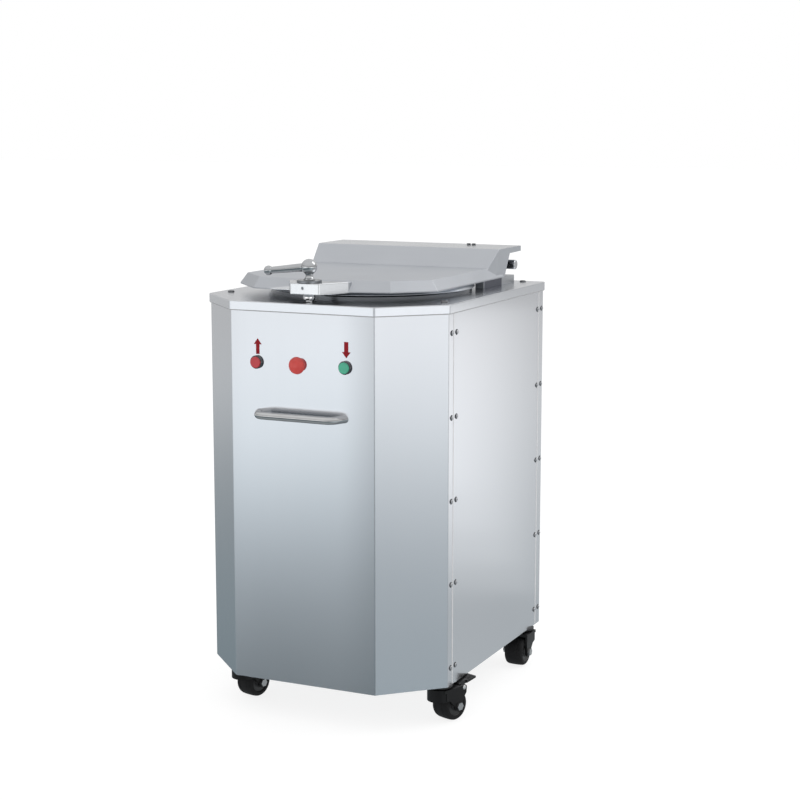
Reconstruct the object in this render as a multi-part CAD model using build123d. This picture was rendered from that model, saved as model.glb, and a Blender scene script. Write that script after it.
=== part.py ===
from build123d import *
import os
from math import sin, cos, tan, radians, sqrt, atan2, degrees

# Hydraulic dough divider: a stainless cabinet on four swivel castors, a hinged cast
# lid with a quarter-turn clamping lever, a round dough bowl with a segmented pressing
# floor, a knife head that rises through that floor, and the hydraulic unit below.
# Millimetres. X to the right seen from the front, Y to the back, Z up, floor at Z = 0.

# ---------------------------------------------------------------- driving dimensions
CAB_W = 625.0            # cabinet width
CAB_D = 734.0            # cabinet depth
CHAM_X = 128.0           # front corner chamfer, along X
CHAM_Y = 125.0           # front corner chamfer, along Y
Z_CAB = 92.0             # underside of the cabinet above the floor
CAB_H = 900.0            # underside of the cabinet to the table surface
SHEET = 2.0              # panel sheet
BEND_R = 5.0             # outside bend radius of the panels
SEAM_F = -215.0          # seam between front panel return and side panel
SEAM_R = 332.5           # seam between side panel and rear panel return
SEAM_GAP = 0.8
TABLE_T = 4.0            # table plate
TABLE_LIP = 20.0         # height of the table's turned-down edge
TABLE_OVER = 4.0         # table edge outside the panels

BOWL_R = 212.0           # inside radius of the dough bowl
BOWL_WALL = 6.0
BOWL_DEPTH = 140.0       # bowl wall below the table surface
BOWL_RIM_R = 246.0
BOWL_RIM_H = 8.0
SEG_TOP = 115.0          # pressing floor below the table surface, at rest
SEG_T = 20.0
KNIFE_RING_R = 92.0      # inside radius of the ring knife
KNIFE_T = 1.6
KNIFE_SLOT = 3.2
KNIFE_H = 135.0
PRESS_STROKE = 110.0
KNIFE_STROKE = 115.0

LID_Z0 = 20.0            # lid underside above the table
LID_Z1 = 47.0            # lid top above the table
LID_BEVEL = 17.0
LID_DISC_R = 254.0       # lower edge of the lid's disc
LID_DISC_R1 = 247.0      # where the disc meets the lid
LID_DISC_Z0 = 9.0
SHAFT_Y = 307.0          # hinge shaft axis
SHAFT_H = 46.5
SHAFT_R = 12.0
SHAFT_HALF = 259.0
RUN_CLEAR = 0.05         # running clearance on a radius
LATCH_Y = -326.0
LATCH_R = 8.0

BTN_Z = 760.7            # button row above the cabinet underside
BTN_X = 115.5
BTN_X0 = -1.2            # the button row sits a little left of centre
UP_DX = 3.2              # the left button stands a little nearer to the middle
HANDLE_Z = 641.8         # handle bar above the cabinet underside
HANDLE_HALF = 111.5
HANDLE_X = -1.8
HANDLE_OFF = 36.0
HANDLE_R = 9.0

WHEEL_R = 37.0
WHEEL_W = 50.0
TRAIL = 32.0
AXLE_R = 6.0
FORK_IN = 26.5
FORK_OUT = 31.5
CASTORS = {              # swivel axis x, y and heading
    "fl": (-219.0, -269.0, -14.0),
    "fr": (285.5, -223.1, -20.0),
    "rl": (-299.58, 299.0, 180.0),
    "rr": (290.5, 299.0, 180.0),
}
PEDAL_Y = 49.5           # brake pedal pivot behind the swivel axis
PEDAL_Z = 79.0

Y_SHIFT = 11.5           # moves the origin under the middle of the bounding box

W2 = CAB_W / 2
D2 = CAB_D / 2
Z_T = Z_CAB + CAB_H      # table surface
Y_F = -D2                # front face

# ---------------------------------------------------------------- helpers
def bx(x0, x1, y0, y1, z0, z1):
    return Pos((x0 + x1) / 2, (y0 + y1) / 2, (z0 + z1) / 2) * Box(x1 - x0, y1 - y0, z1 - z0)

def cz(r, z0, z1, x=0.0, y=0.0):
    return Pos(x, y, (z0 + z1) / 2) * Cylinder(r, z1 - z0)

def cx(r, x0, x1, y=0.0, z=0.0):
    return Pos((x0 + x1) / 2, y, z) * Rot(0, 90, 0) * Cylinder(r, x1 - x0)

def cy(r, y0, y1, x=0.0, z=0.0):
    return Pos(x, (y0 + y1) / 2, z) * Rot(90, 0, 0) * Cylinder(r, y1 - y0)

def plan(pts, z0, z1):
    return Pos(0, 0, z0) * extrude(Polygon(*pts, align=None), amount=z1 - z0, dir=(0, 0, 1))

def side(pts, x0, x1):
    """Profile given as (y, z) points, run along X."""
    return Pos(x0, 0, 0) * extrude(Plane.YZ * Polygon(*pts, align=None), amount=x1 - x0, dir=(1, 0, 0))

def hexx(af, x0, x1, y, z):
    s = extrude(Plane.YZ * RegularPolygon(af / 2, 6, major_radius=False), amount=x1 - x0, dir=(1, 0, 0))
    return Pos(x0, y, z) * s

def hexy(af, y0, y1, x, z):
    s = extrude(Plane.XZ * RegularPolygon(af / 2, 6, major_radius=False), amount=y1 - y0, dir=(0, 1, 0))
    return Pos(x, y0, z) * s

def inset(pts, d):
    """Mitred inset of a counter-clockwise convex outline."""
    n = len(pts)
    out = []
    for i in range(n):
        (ax, ay), (px, py), (qx, qy) = pts[i - 1], pts[i], pts[(i + 1) % n]
        ux, uy = px - ax, py - ay
        vx, vy = qx - px, qy - py
        lu, lv = sqrt(ux * ux + uy * uy), sqrt(vx * vx + vy * vy)
        n1 = (-uy / lu, ux / lu)
        n2 = (-vy / lv, vx / lv)
        k = d / (1 + n1[0] * n2[0] + n1[1] * n2[1])
        out.append((px + k * (n1[0] + n2[0]), py + k * (n1[1] + n2[1])))
    return out

def tube(pts, r, bend):
    path = FilletPolyline(*pts, radius=bend)
    return sweep(Plane(origin=path @ 0, z_dir=path % 0) * Circle(r), path=path)

NODES = {}

def put(name, *shapes):
    solids = []
    for s in shapes:
        solids.extend((Pos(0, Y_SHIFT, 0) * s).solids())
    NODES[name] = solids

# ---------------------------------------------------------------- cabinet sheet metal
outline = [(-(W2 - CHAM_X), -D2), (W2 - CHAM_X, -D2), (W2, -D2 + CHAM_Y), (W2, D2), (-W2, D2), (-W2, -D2 + CHAM_Y)]
face_out = Polygon(*outline, align=None)
face_out = fillet(face_out.vertices(), BEND_R)
face_in = offset(face_out, -SHEET)
Z_PT = Z_T - 6.0
wrap = Pos(0, 0, Z_CAB) * extrude(face_out - face_in, amount=Z_PT - Z_CAB, dir=(0, 0, 1))
BIG = 2000.0
front_panel = wrap & bx(-BIG, BIG, -BIG, SEAM_F - SEAM_GAP / 2, 0, BIG)
side_all = wrap & bx(-BIG, BIG, SEAM_F + SEAM_GAP / 2, SEAM_R - SEAM_GAP / 2, 0, BIG)
side_left = side_all & bx(-BIG, 0, -BIG, BIG, 0, BIG)
side_right = side_all & bx(0, BIG, -BIG, BIG, 0, BIG)
rear_panel = wrap & bx(-BIG, BIG, SEAM_R + SEAM_GAP / 2, BIG, 0, BIG)

btn_z = Z_CAB + BTN_Z
BTNS = (BTN_X0 - BTN_X + UP_DX, BTN_X0, BTN_X0 + BTN_X)
for x in BTNS:
    front_panel -= cy(11.3, Y_F - 5, Y_F + 10, x, btn_z)

# ventilation slots and the cable gland hole in the rear panel
GLAND_X, GLAND_Z = 200.0, 170.0
for zc in (300.0, 620.0):
    for k in range(6):
        z = zc + 22.0 * k
        for xs in (-120.0, 120.0):
            slot = bx(xs - 50, xs + 50, D2 - 6, D2 + 4, z - 3.5, z + 3.5)
            rear_panel -= slot
rear_panel -= cy(12.7, D2 - 6, D2 + 6, GLAND_X, GLAND_Z)

# ---------------------------------------------------------------- frame
POST = 40.0
POST_X = W2 - SHEET - 0.2 - POST / 2
POST_YF = -211.0
POST_YR = 338.0
base_in = inset(outline, SHEET + 1.0)
base_plate = plan(base_in, Z_CAB, Z_CAB + 8)
posts = []
Z_P0, Z_P1 = Z_CAB + 8, Z_T - TABLE_T
for sx in (-1, 1):
    for py in (POST_YF, POST_YR):
        p = bx(sx * POST_X - 20, sx * POST_X + 20, py - 20, py + 20, Z_P0, Z_P1)
        p = fillet(p.edges().filter_by(Axis.Z), 4)
        p -= bx(sx * POST_X - 17, sx * POST_X + 17, py - 17, py + 17, Z_P0 - 1, Z_P1 + 1)
        posts.append(p)

# screws along the four seams, five pairs each
SCREW_Z = [Z_CAB + v for v in (43.0, 243.5, 441.5, 637.5, 833.0)]
SCREW_Y = [-225.5, -198.0, 323.5, 352.5]
screws = []
holes_l, holes_r = [], []
for sx in (-1, 1):
    for z in SCREW_Z:
        for y in SCREW_Y:
            x0 = sx * W2
            shank = cx(2.4, min(x0, x0 - sx * 9), max(x0, x0 - sx * 9), y, z)
            head = cx(4.75, min(x0, x0 + sx * 3.2), max(x0, x0 + sx * 3.2), y, z)
            rim = head.edges().filter_by(GeomType.CIRCLE).sort_by(Axis.X)
            head = fillet(rim[-1] if sx > 0 else rim[0], 1.6)
            xo = x0 + sx * 3.2
            head -= bx(min(xo, xo - sx * 1.4), max(xo, xo - sx * 1.4), y - 3.2, y + 3.2, z - 0.6, z + 0.6)
            head -= bx(min(xo, xo - sx * 1.4), max(xo, xo - sx * 1.4), y - 0.6, y + 0.6, z - 3.2, z + 3.2)
            screws.append(head + shank)
            h = cx(2.55, min(x0 + sx, x0 - sx * 12), max(x0 + sx, x0 - sx * 12), y, z)
            (holes_r if sx > 0 else holes_l).append(h)
cut_l = Compound(children=[s for h in holes_l for s in h.solids()])
cut_r = Compound(children=[s for h in holes_r for s in h.solids()])
front_panel = front_panel - cut_l - cut_r
rear_panel = rear_panel - cut_l - cut_r
side_left = side_left - cut_l
side_right = side_right - cut_r
posts = [p - (cut_l if i < 2 else cut_r) for i, p in enumerate(posts)]

# ---------------------------------------------------------------- table
table_face = offset(face_out, TABLE_OVER)
table = Pos(0, 0, Z_T - TABLE_LIP) * extrude(table_face, amount=TABLE_LIP, dir=(0, 0, 1))
top_edges = table.faces().sort_by(Axis.Z)[-1].outer_wire().edges()
table = fillet(top_edges, 1.8)
table_in = offset(face_out, TABLE_OVER - SHEET)
table -= Pos(0, 0, Z_T - TABLE_LIP) * extrude(table_in, amount=TABLE_LIP - TABLE_T, dir=(0, 0, 1))
table -= cz(BOWL_R + BOWL_WALL + 1.0, Z_T - 50, Z_T + 50)
slot = bx(-9, 9, LATCH_Y - 16, LATCH_Y + 16, Z_T - 10, Z_T + 10) + cz(9, Z_T - 10, Z_T + 10, 0, LATCH_Y - 16) + cz(9, Z_T - 10, Z_T + 10, 0, LATCH_Y + 16)
table -= slot
TBOLT = [(-281.5, -198.5), (281.5, -198.5), (-264.0, 343.0), (264.0, 343.0)]
for x, y in TBOLT:
    table -= cz(4.3, Z_T - 10, Z_T + 10, x, y)
tbolts = []
for x, y in TBOLT:
    head = cz(8.0, Z_T, Z_T + 3.4, x, y)
    head = fillet(head.edges().filter_by(GeomType.CIRCLE).sort_by(Axis.Z)[-1], 2.4)
    head -= Pos(x, y, Z_T + 1.4) * extrude(RegularPolygon(2.5, 6, major_radius=False), amount=4, dir=(0, 0, 1))
    tbolts.append(head + cz(4.0, Z_T - 22, Z_T, x, y))

# ---------------------------------------------------------------- dough bowl
bowl = cz(BOWL_R + BOWL_WALL, Z_T - BOWL_DEPTH, Z_T) + cz(BOWL_RIM_R, Z_T, Z_T + BOWL_RIM_H)
bowl -= cz(BOWL_R, Z_T - BOWL_DEPTH - 1, Z_T + BOWL_RIM_H + 1)
rim = bowl.edges().filter_by(GeomType.CIRCLE).group_by(Axis.Z)[-1]
bowl = fillet(rim, 2.5)

# ---------------------------------------------------------------- hinge bases
def hinge_base(sx):
    bar = bx(222, 247, 126, 328, Z_T, Z_T + 19)
    pad = bx(190, 247, 262, 328, Z_T, Z_T + 19)
    up = bx(190, 215, SHAFT_Y - 20, SHAFT_Y + 20, Z_T + 10, Z_T + SHAFT_H)
    eye = cx(20, 190, 215, SHAFT_Y, Z_T + SHAFT_H)
    b = bar + pad
    b = fillet(b.edges().filter_by(Axis.Z), 3)
    b = b + up + eye
    b -= cx(SHAFT_R + RUN_CLEAR, 180, 225, SHAFT_Y, Z_T + SHAFT_H)
    return b if sx > 0 else mirror(b, about=Plane.YZ)

# ---------------------------------------------------------------- lid casting
lid_pts = [(-60, -286), (60, -285), (171, -254), (255.5, -178), (255.5, 235), (-263.5, 235), (-263.5, -184), (-175, -276)]
lid_top = inset(lid_pts, LID_BEVEL)
LAND = 3.0
lid = plan(lid_pts, Z_T + LID_Z0, Z_T + LID_Z0 + LAND)
lid += loft([Pos(0, 0, Z_T + LID_Z0 + LAND) * Polygon(*lid_pts, align=None),
             Pos(0, 0, Z_T + LID_Z1) * Polygon(*lid_top, align=None)], ruled=True)
lid = fillet(lid.edges().filter_by_position(Axis.Z, Z_T + LID_Z1 - 0.1, Z_T + LID_Z1 + 0.1), 3.0)
lug_pts = [(-37, -350), (37, -350), (79, -276), (79, -256), (-79, -256), (-79, -276)]
lug = plan(lug_pts, Z_T + LID_Z0 - 1, Z_T + 45)
lug = fillet(lug.edges().filter_by(Axis.Z), 4)
lug = fillet(lug.faces().sort_by(Axis.Z)[-1].edges(), 2.0)
# rear bridge: a wall that leans back with a flat shelf on top
SHELF = 91.5             # shelf surface above the table
BR_X0, BR_X1 = -259.0, 252.0
WALL = [(129, LID_Z0), (214, SHELF), (358, SHELF), (358, 78), (282, 77), (247, LID_Z0)]
bridge = side([(y, Z_T + z) for y, z in WALL], BR_X0, BR_X1)
bridge = fillet(bridge.edges().filter_by(Axis.X).filter_by_position(Axis.Z, Z_T + SHELF - 0.5, Z_T + SHELF + 0.5), 1.6)
# the wall's front corners are cut back by a plane that runs from the shelf down to the lid's edge
for sx, xe in ((-1, BR_X0), (1, BR_X1)):
    bridge -= Plane(origin=(xe, 222, Z_T + SHELF), z_dir=(sx * 0.964, -0.245, 0.107)) * (Pos(0, 0, 150) * Box(600, 600, 300))
POCKET = [(188, 50), (222, 77), (300, 77), (262, 20), (252, 19), (188, 36)]
for x0, x1 in ((-247, -91), (-79, 79), (91, 240)):
    bridge -= side([(y, Z_T + z) for y, z in POCKET], x0, x1)
lugs = None
for sx in (-1, 1):
    l = side([(SHAFT_Y - 20, Z_T + SHAFT_H), (SHAFT_Y - 26, Z_T + 84), (SHAFT_Y + 26, Z_T + 84), (SHAFT_Y + 20, Z_T + SHAFT_H)],
             min(sx * 118, sx * 142), max(sx * 118, sx * 142))
    l += cx(20, min(sx * 118, sx * 142), max(sx * 118, sx * 142), SHAFT_Y, Z_T + SHAFT_H)
    bridge += l
lid_casting = lid + lug + bridge
lid_casting -= cx(SHAFT_R + 0.02, -300, 300, SHAFT_Y, Z_T + SHAFT_H)
lid_casting -= cz(LATCH_R + RUN_CLEAR, Z_T, Z_T + 60, 0, LATCH_Y)
lid_casting -= cy(2.8, -352, -343, -5.0, Z_T + 33)          # set-screw hole in the lug face
BSCREW = [(123.0, 320.0), (137.0, 320.0)]
for x, y in BSCREW:
    lid_casting -= cz(3.05, Z_T + 70, Z_T + 98, x, y)

lid_disc = Pos(0, 0, Z_T + (LID_DISC_Z0 + LID_Z0) / 2) * Cone(LID_DISC_R, LID_DISC_R1, LID_Z0 - LID_DISC_Z0)
lid_disc = fillet(lid_disc.edges().filter_by(GeomType.CIRCLE).sort_by(Axis.Z)[0], 1.2)

shaft = cx(SHAFT_R, -SHAFT_HALF, SHAFT_HALF, SHAFT_Y, Z_T + SHAFT_H)
shaft = chamfer(shaft.edges().filter_by(GeomType.CIRCLE), 1.5)
bscrews = []
for x, y in BSCREW:
    s = cz(5.0, Z_T + SHELF, Z_T + SHELF + 4.0, x, y)
    s -= Pos(x, y, Z_T + SHELF + 1.5) * extrude(RegularPolygon(2.5, 6, major_radius=False), amount=4, dir=(0, 0, 1))
    bscrews.append(s + cz(3.0, Z_T + 72, Z_T + SHELF, x, y))

# ---------------------------------------------------------------- latch
collar = cz(29, Z_T + 45, Z_T + 51, 0, LATCH_Y)
collar = fillet(collar.edges().filter_by(GeomType.CIRCLE).sort_by(Axis.Z)[-1], 1.5)
collar -= cz(LATCH_R + RUN_CLEAR, Z_T + 40, Z_T + 60, 0, LATCH_Y)
HUB_Z = Z_T + 80.4
HUB_R = 18.6
END = (-98.0, -340.0, Z_T + 70.0)
hub_prof = [(0, Z_T + 51.3), (13.5, Z_T + 51.3), (13.5, Z_T + 53.0), (11.0, Z_T + 55.4), (9.4, Z_T + 58.2), (8.7, Z_T + 61.2), (9.4, Z_T + 64.0), (10.5, Z_T + 70.0), (0, Z_T + 74.0)]
hub = revolve(Plane.XZ * Polygon(*hub_prof, align=None), axis=Axis.Z)
hub = Pos(0, LATCH_Y, 0) * hub
hub += Pos(0, LATCH_Y, HUB_Z) * Sphere(HUB_R)
dx, dy, dz = END[0], END[1] - LATCH_Y, END[2] - HUB_Z
L_ARM = sqrt(dx * dx + dy * dy + dz * dz)
arm_pl = Plane(origin=(0, LATCH_Y, HUB_Z), z_dir=(dx, dy, dz))
arm = arm_pl * (Pos(0, 0, L_ARM / 2) * Cone(10.4, 7.6, L_ARM) + Pos(0, 0, L_ARM) * Sphere(11.2))
lever = hub + arm

spindle = cz(LATCH_R, Z_T - 15.5, Z_T + 51.3, 0, LATCH_Y)
nut_prof = [(0, Z_T + 4.2), (10.5, Z_T + 4.2), (13.2, Z_T + 6.4), (14.4, Z_T + 9.4), (14.4, Z_T + 12.6), (13.2, Z_T + 16.0), (12.0, Z_T + 18.5), (0, Z_T + 18.5)]
spindle += Pos(0, LATCH_Y, 0) * revolve(Plane.XZ * Polygon(*nut_prof, align=None), axis=Axis.Z)
tbar = bx(-6, 6, LATCH_Y - 17, LATCH_Y + 17, Z_T - 15.5, Z_T - 6)
tbar = fillet(tbar.edges().filter_by(Axis.Z), 3)
spindle += tbar

# ---------------------------------------------------------------- pressing floor
Z_S1 = Z_T - SEG_TOP
Z_S0 = Z_S1 - SEG_T
outer = cz(BOWL_R - 1.0, Z_S0, Z_S1) - cz(KNIFE_RING_R + KNIFE_T + 0.8, Z_S0 - 1, Z_S1 + 1)
inner = cz(KNIFE_RING_R - 0.8, Z_S0, Z_S1)
for k in range(8):
    outer -= Rot(0, 0, 22.5 * k) * bx(-300, 300, -KNIFE_SLOT / 2, KNIFE_SLOT / 2, Z_S0 - 1, Z_S1 + 1)
for k in range(2):
    inner -= Rot(0, 0, 90.0 * k) * bx(-300, 300, -KNIFE_SLOT / 2, KNIFE_SLOT / 2, Z_S0 - 1, Z_S1 + 1)
Z_K1 = Z_S1 - 2.0                      # knife edge at rest, just below the floor
Z_KC1 = Z_K1 - KNIFE_H                 # top of the knife carrier
Z_KC0 = Z_KC1 - 12.0
Z_SP1 = Z_KC0 - PRESS_STROKE - 2.0     # top of the press spider
Z_SP0 = Z_SP1 - 15.0
POSTS = [(50.0, 45.0 + 90.0 * k, 11.0) for k in range(4)] + [(152.0, 11.25 + 22.5 * k, 9.0) for k in range(16)]
pposts = [cz(r, Z_SP1, Z_S0, R * cos(radians(a)), R * sin(radians(a))) for R, a, r in POSTS]
spider = cz(172, Z_SP0, Z_SP1)
spider = chamfer(spider.edges().filter_by(GeomType.CIRCLE), 2)
carrier = cz(205, Z_KC0, Z_KC1)
for R, a, r in POSTS:
    carrier -= cz(r + 2.0, Z_KC0 - 1, Z_KC1 + 1, R * cos(radians(a)), R * sin(radians(a)))
kring = cz(KNIFE_RING_R + KNIFE_T, Z_KC1, Z_K1) - cz(KNIFE_RING_R, Z_KC1 - 1, Z_K1 + 1)
blades = [Rot(0, 0, 90.0 * k) * bx(3, KNIFE_RING_R - 0.3, -KNIFE_T / 2, KNIFE_T / 2, Z_KC1, Z_K1) for k in range(4)]
blades += [Rot(0, 0, 22.5 * k) * bx(KNIFE_RING_R + KNIFE_T + 0.1, 205, -KNIFE_T / 2, KNIFE_T / 2, Z_KC1, Z_K1) for k in range(16)]

# ---------------------------------------------------------------- rams and cylinders
Z_B1 = Z_SP0 - 8.0                     # bridge plate
Z_B0 = Z_B1 - 15.0
KROD_X = 191.0
bridge_plate = bx(-(W2 - 4), W2 - 4, -95, 95, Z_B0, Z_B1)
bridge_plate = fillet(bridge_plate.edges().filter_by(Axis.Z), 12)
bridge_plate -= cz(27, Z_B0 - 1, Z_B1 + 1)
for sx in (-1, 1):
    bridge_plate -= cz(12, Z_B0 - 1, Z_B1 + 1, sx * KROD_X)
rails = []
for sx in (-1, 1):
    rr_ = bx(sx * POST_X - 20, sx * POST_X + 20, POST_YF + 20.2, POST_YR - 20.2, Z_B0 - 30, Z_B0)
    rr_ = fillet(rr_.edges().filter_by(Axis.Y), 3)
    rr_ -= bx(sx * POST_X - 17.5, sx * POST_X + 17.5, POST_YF, POST_YR, Z_B0 - 27.5, Z_B0 - 2.5)
    rails.append(rr_)
Z_G = Z_B0 - 18.0                      # underside of the press cylinder's gland
pcyl = cz(45, Z_G - 175, Z_B0) + cz(68, Z_G, Z_B0)
pcyl -= cz(32, Z_G - 160, Z_G)
pcyl -= cz(25 + RUN_CLEAR, Z_G - 1, Z_B0 + 1)
pcyl -= cz(6, Z_G - 180, Z_G - 150)
ram = cz(25, Z_G - PRESS_STROKE - 26, Z_SP0) + cz(32 - RUN_CLEAR, Z_G - PRESS_STROKE - 26, Z_G - PRESS_STROKE - 1)
Z_KG = Z_B0 - 20.0
kcyls, krods = [], []
for sx in (-1, 1):
    c = cz(25, Z_KG - 175, Z_B0, sx * KROD_X) + cz(34, Z_B0 - 12, Z_B0, sx * KROD_X)
    c -= cz(16, Z_KG - 160, Z_KG, sx * KROD_X)
    c -= cz(10 + RUN_CLEAR, Z_KG - 1, Z_B0 + 1, sx * KROD_X)
    c -= cy(4.2, -40, 0, sx * KROD_X, Z_KG - 150)
    kcyls.append(c)
    krods.append(cz(10, Z_KG - KNIFE_STROKE - 16, Z_KC0, sx * KROD_X) + cz(16 - RUN_CLEAR, Z_KG - KNIFE_STROKE - 16, Z_KG - KNIFE_STROKE - 1, sx * KROD_X))

# ---------------------------------------------------------------- hydraulic unit
Z_BP = Z_CAB + 8.0
TK = (-262.0, -110.0, -150.0, 200.0, Z_BP, Z_BP + 200.0)
tank = bx(*TK)
tank = fillet(tank.edges().filter_by(Axis.Z), 10)
tank -= bx(TK[0] + 3, TK[1] - 3, TK[2] + 3, TK[3] - 3, TK[4] + 3, TK[5] - 3)
MX, MY = -186.0, 118.0
Z_TK = TK[5]
tank -= cz(31, Z_TK - 5, Z_TK + 5, MX, MY)
motor = cz(60, Z_TK, Z_TK + 12, MX, MY) + cz(63, Z_TK + 12, Z_TK + 165, MX, MY) + cz(67, Z_TK + 165, Z_TK + 210, MX, MY)
for k in range(24):
    a = radians(15 * k)
    motor += Pos(MX, MY, Z_TK + 85) * Rot(0, 0, 15 * k) * (Pos(64.5, 0, 0) * Box(6, 2.4, 130))
motor += bx(MX - 30, MX + 30, MY - 92, MY - 58, Z_TK + 60, Z_TK + 120)
motor += cz(28, Z_TK - 110, Z_TK, MX, MY)
VX, VY = -186.0, -85.0
vblock = bx(VX - 42, VX + 42, VY - 32, VY + 32, Z_TK, Z_TK + 60)
vblock = chamfer(vblock.edges().filter_by(Axis.Z), 3)
for yy in (-16.0, 16.0):
    vblock += cx(15, VX - 72, VX - 42, VY + yy, Z_TK + 36)
Z_PIPE = Z_TK + 30.0
vblock -= cx(5.0, VX + 30, VX + 50, VY - 16, Z_PIPE)
vblock -= cx(5.0, VX + 30, VX + 50, VY + 14, Z_PIPE + 8)
vblock -= cy(4.2, VY + 24, VY + 40, -KROD_X, Z_PIPE + 20)
pz = Z_G - 175
pipes = []
pipes.append(tube([(VX + 34, VY + 14, Z_PIPE + 8), (0, VY + 14, Z_PIPE + 8), (0, 0, Z_PIPE + 8), (0, 0, pz + 8)], 4.9, 16))
kz = Z_KG - 150
pipes.append(tube([(-KROD_X, VY + 27, Z_PIPE + 20), (-KROD_X, VY + 46, Z_PIPE + 20), (-KROD_X, VY + 46, kz), (-KROD_X, -20, kz)], 4.1, 7))
pipes.append(tube([(VX + 34, VY - 16, Z_PIPE), (KROD_X, VY - 16, Z_PIPE), (KROD_X, VY - 16, kz), (KROD_X, -20, kz)], 4.1, 16))
cbox = bx(105, 262, -20, 190, Z_BP, Z_BP + 190)
cbox = fillet(cbox.edges().filter_by(Axis.Z), 6)
cbox += bx(101, 105, -12, 182, Z_BP + 8, Z_BP + 182)

# ---------------------------------------------------------------- cable gland
gland = hexy(30, D2, D2 + 7, GLAND_X, GLAND_Z) + cy(14, D2 + 7, D2 + 22, GLAND_X, GLAND_Z)
gland = gland + cy(12.5, D2 - 18, D2, GLAND_X, GLAND_Z) + hexy(30, D2 - 8.2, D2 - 2.2, GLAND_X, GLAND_Z)
gland -= cy(5.5, D2 - 30, D2 + 30, GLAND_X, GLAND_Z)
end_ring = gland.edges().filter_by(GeomType.CIRCLE).sort_by(Axis.Y)[-1]

# ---------------------------------------------------------------- buttons
def bezel(x):
    b = cy(15.6, Y_F - 10.5, Y_F, x, btn_z)
    b = chamfer(b.edges().filter_by(GeomType.CIRCLE).sort_by(Axis.Y)[0], 1.2)
    b += cy(11.0, Y_F, Y_F + 14, x, btn_z)
    b -= cy(13.4, Y_F - 15, Y_F - 1.5, x, btn_z)
    b -= cy(5.0 + RUN_CLEAR, Y_F - 3, Y_F + 15, x, btn_z)
    return b

def button(x):
    b = cy(13.0, Y_F - 15, Y_F - 6, x, btn_z)
    b = fillet(b.edges().filter_by(GeomType.CIRCLE).sort_by(Axis.Y)[0], 1.5)
    return b + cy(5.0, Y_F - 6, Y_F + 18, x, btn_z)

ecollar = cy(15.0, Y_F - 8.5, Y_F, BTN_X0, btn_z)
ecollar = chamfer(ecollar.edges().filter_by(GeomType.CIRCLE).sort_by(Axis.Y)[0], 1.5)
ecollar += cy(11.0, Y_F, Y_F + 14, BTN_X0, btn_z)
ecollar -= cy(7.0 + RUN_CLEAR, Y_F - 10, Y_F + 15, BTN_X0, btn_z)
mush = [(0, -31.0), (6, -30.7), (12, -29.4), (16.5, -26.9), (19.3, -23.6), (20.0, -20.5), (19.0, -17.0), (16.0, -15.0), (7.0, -15.0), (7.0, 14.0), (0, 14.0)]
estop = revolve(Polygon(*[(r, y) for r, y in mush], align=None), axis=Axis.Y)
estop = Pos(BTN_X0, Y_F, btn_z) * estop
estop += cy(5.0, Y_F + 14, Y_F + 18, BTN_X0, btn_z)
cblocks = []
for x in BTNS:
    b = bx(x - 15, x + 15, Y_F + 14.3, Y_F + 62, btn_z - 20, btn_z + 20)
    b = chamfer(b.edges().filter_by(Axis.Y), 2)
    b -= cy(7.6, Y_F + 10, Y_F + 29, x, btn_z)
    cblocks.append(b)

# arrow marks beside the two buttons, thin plates on the front panel
def arrow(x, tip, tail, head_l, head_w, shaft_w):
    s = 1 if tip > tail else -1
    pts = [(x, tip), (x - head_w / 2, tip - s * head_l), (x - shaft_w / 2, tip - s * head_l), (x - shaft_w / 2, tail),
           (x + shaft_w / 2, tail), (x + shaft_w / 2, tip - s * head_l), (x + head_w / 2, tip - s * head_l)]
    return Pos(0, Y_F, Z_CAB) * extrude(Plane.XZ * Polygon(*pts, align=None), amount=0.4, dir=(0, -1, 0))

# ---------------------------------------------------------------- front handle
hz = Z_CAB + HANDLE_Z
hpath = [(HANDLE_X - HANDLE_HALF - 4.5, Y_F + 10, hz), (HANDLE_X - HANDLE_HALF + 17, Y_F - HANDLE_OFF, hz), (HANDLE_X + HANDLE_HALF - 17, Y_F - HANDLE_OFF, hz), (HANDLE_X + HANDLE_HALF + 4.5, Y_F + 10, hz)]
handle = tube(hpath, HANDLE_R, 24) - bx(-300, 300, Y_F, Y_F + 60, hz - 50, hz + 50)

# ---------------------------------------------------------------- castors
def place(key, s):
    x, y, a = CASTORS[key]
    return Pos(x, y, 0) * Rot(0, 0, a) * s

race = cz(30, 88.5, 92) + cz(27, 84.5, 88.5)
race = chamfer(race.edges().filter_by(GeomType.CIRCLE).sort_by(Axis.Z)[0], 1.5)
race -= cz(6 + RUN_CLEAR, 80, 100)

def fork(ear):
    f = cz(31, 76, 84) + bx(-FORK_OUT, FORK_OUT, -16, 39 if ear else 44, 77, 84)
    f += (cz(31, 54, 84) - cz(27.5, 50, 80)) & bx(-40, 40, -40, -6, 50, 90)
    leg = [(-10, 84), (44, 84), (46, 60), (45, 37), (19, 37), (4, 54), (-10, 58)]
    if ear:
        leg = [(-10, 84), (56, 84), (58.5, 81), (57.5, 66), (48, 54), (45, 37), (19, 37), (4, 54), (-10, 58)]
    for sx in (-1, 1):
        x0, x1 = min(sx * FORK_IN, sx * FORK_OUT), max(sx * FORK_IN, sx * FORK_OUT)
        f += side(leg, x0, x1) + cx(13, x0, x1, TRAIL, WHEEL_R)
    f -= cx(AXLE_R + 0.02, -60, 60, TRAIL, WHEEL_R)
    if ear:
        f -= cx(4 + RUN_CLEAR, -60, 60, PEDAL_Y, PEDAL_Z)
    return f + cz(6, 84, 91.5)

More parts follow.
